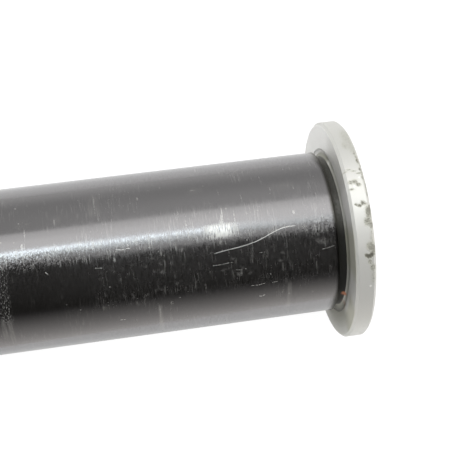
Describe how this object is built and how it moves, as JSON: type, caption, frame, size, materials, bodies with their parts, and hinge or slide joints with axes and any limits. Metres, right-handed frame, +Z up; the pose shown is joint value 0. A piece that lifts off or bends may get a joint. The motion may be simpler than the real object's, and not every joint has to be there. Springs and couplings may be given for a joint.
{
  "type": "front wheel axle",
  "caption": "Hollow turned-steel front wheel axle: black journal, bare flange head with a relief groove and hexagon drive socket, and a threaded end; it carries a wheel between fork legs.",
  "frame": {"origin": "on the axle's axis, in the flange's seat face, which the journal stands out of", "axes": "+X along the axle towards the face of the flange head, -X towards the threaded end, +Z up as the axle lies"},
  "size_m": [0.213, 0.034, 0.034],
  "materials": {
    "axle_steel": "black-finished ground journal with scratches, flange head and thread left as bare satin steel"
  },
  "bodies": {
    "root": {"axle": "axle_steel"}
  },
  "joints": []
}
